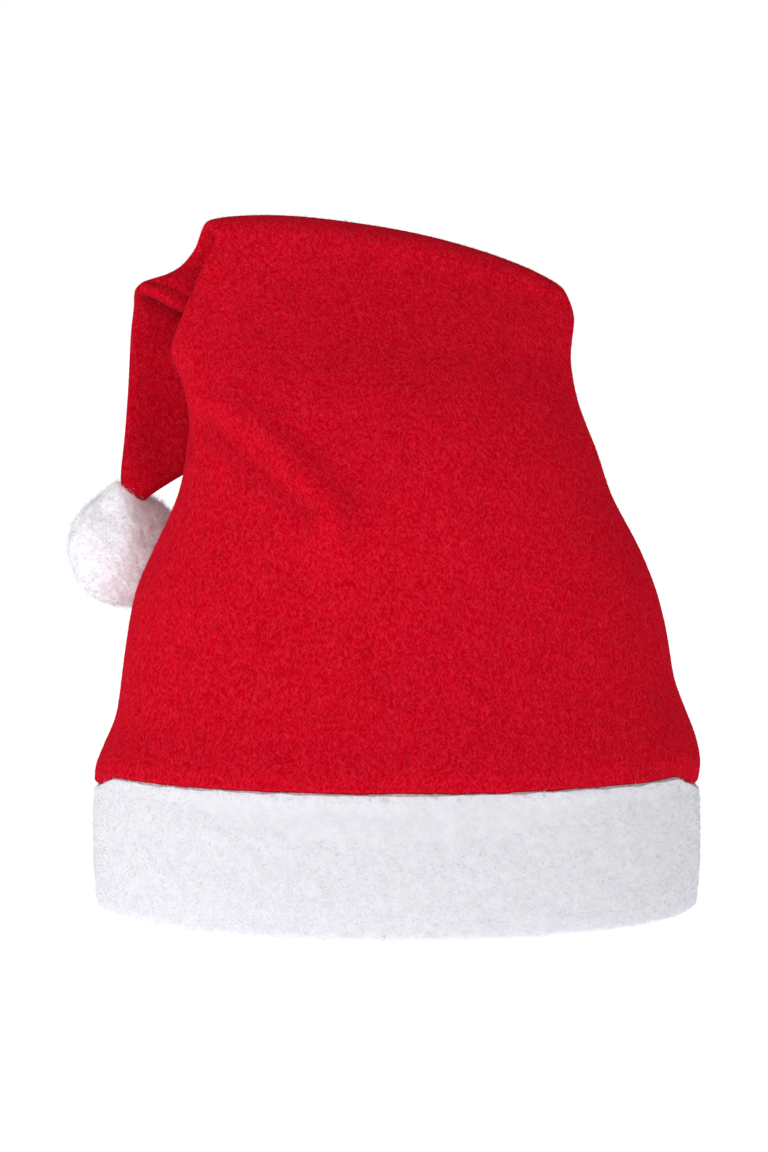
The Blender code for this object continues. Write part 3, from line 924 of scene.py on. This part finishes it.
# %% Hand the pieces over
SLOTS = (
    (crown, "red_felt"),
    (nap, "red_felt"),
    (band, "white_plush"),
    (pile, "white_plush"),
    (pompom, "white_yarn"),
    (strands, "white_yarn"),
)
for piece, slot in SLOTS:
    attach(piece, "root")
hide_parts("crown")
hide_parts("band")
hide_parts("pompom")
print(len(SLOTS), "pieces ride on the hat's body")

# %% [markdown]
# ## How the cloth was cut
#
# The crown is cut as a flat cone: its width is the hem's length and a seam allowance,
# and its length is the way over the fold to the tip.  The band is cut as one straight
# strip.


# %% [markdown]
# ## Floor
#
# The photograph has a pure white ground with no shadow on it.  A white floor alone would
# come out grey, so the hat stands on a table of opal acrylic that is lit from below.
# The glow is soft and also lights the lower edge of the band, as in the photograph.

# %% Floor
FLOOR_HALF = 30.0
FLOOR_DROP = 0.1 * MM
GRAIN_SIZE = 4 * MM
GRAIN_RELIEF = 0.2 * MM
GLOW = 0.72

floor_mesh = bpy.data.meshes.new("floor")
floor_mesh.from_pydata(
    [(FLOOR_HALF * x, FLOOR_HALF * y, 0) for x, y in ((-1, -1), (1, -1), (1, 1), (-1, 1))],
    [],
    [(0, 1, 2, 3)],
)
floor_paint, tree_nodes = new_material("opal acrylic light table")
place = add_node(tree_nodes, "ShaderNodeTexCoord").outputs["Object"]
grain = add_node(
    tree_nodes, "ShaderNodeTexNoise", {"Vector": place, "Scale": 1 / GRAIN_SIZE, "Detail": 3.0}
).outputs["Fac"]
bump = add_node(
    tree_nodes, "ShaderNodeBump", {"Height": grain, "Strength": 0.05, "Distance": GRAIN_RELIEF}
)
shader = add_node(
    tree_nodes,
    "ShaderNodeBsdfPrincipled",
    {
        "Base Color": linear("#FAFAFA"),
        "Roughness": 0.9,
        "Specular IOR Level": 0.1,
        "Emission Color": (1, 1, 1, 1),
        "Emission Strength": GLOW,
        "Normal": bump.outputs[0],
    },
)
add_node(tree_nodes, "ShaderNodeOutputMaterial", {"Surface": shader.outputs[0]})
floor = link_mesh("floor", floor_mesh, floor_paint)
floor.location.z = -FLOOR_DROP

# %% [markdown]
# ## White studio
#
# The ground behind the hat has to be full white for the camera, but a world that bright
# would wash out the folds.  The Light Path node tells the two apart: what the camera
# sees directly is full white, and what lights the hat is less than half of that.

# %% World
AMBIENT = 0.45
world = bpy.data.worlds.new("white studio")
scene.world = world
world.use_nodes = True
world_nodes = world.node_tree
world_nodes.nodes.clear()
seen = add_node(world_nodes, "ShaderNodeLightPath").outputs["Is Camera Ray"]
strength = add_node(
    world_nodes, "ShaderNodeMapRange", {"Value": seen, "To Min": AMBIENT, "To Max": 1.0}
).outputs[0]
studio = add_node(
    world_nodes, "ShaderNodeBackground", {"Color": (1, 1, 1, 1), "Strength": strength}
)
add_node(world_nodes, "ShaderNodeOutputWorld", {"Surface": studio.outputs[0]})
print("The studio lights the hat at", AMBIENT, "of full white")

# %% [markdown]
# ## Lights
#
# Two large square lights give soft shadows, as soft boxes do in a studio.  The main one
# stands in front on the left, and a weaker and larger one stands in front on the right,
# so the right side of the hat stays a little darker.

# %% Lights
AIM = Vector((0, 0, 0.13))


def soft_light(name, place, size, power):
    """A square area light that faces the hat."""
    data = bpy.data.lights.new(name, "AREA")
    data.size = size
    data.energy = power
    light = bpy.data.objects.new(name, data)
    light.location = place
    light.rotation_euler = (AIM - light.location).to_track_quat("-Z", "Y").to_euler()
    scene.collection.objects.link(light)
    print(f"{name}: {power} W from {size} m")


soft_light("main light", Vector((-1.35, -1.35, 0.60)), 0.9, 16)
soft_light("fill light", Vector((1.5, -1.2, 0.5)), 1.2, 4.5)

# %% [markdown]
# ## Camera
#
# The photograph was taken from about a metre away and slightly above: the band's rim
# shows as a flat curve, and the hat's sides lean in a little.  The Standard view
# transform keeps white as white, where the default one would dull the red.

# %% Camera
LENS = 76.1
SENSOR = 36
CAMERA_PITCH = 5.7
camera_data = bpy.data.cameras.new("camera")
camera_data.lens = LENS
camera_data.sensor_width = SENSOR
camera = bpy.data.objects.new("camera", camera_data)
camera.location = (-0.005, -0.95, 0.225)
camera.rotation_euler = (np.radians(90 - CAMERA_PITCH), 0, 0)
scene.collection.objects.link(camera)
scene.camera = camera
scene.view_settings.view_transform = "Standard"
print("Camera pitch", CAMERA_PITCH, "degrees, lens", LENS, "mm")
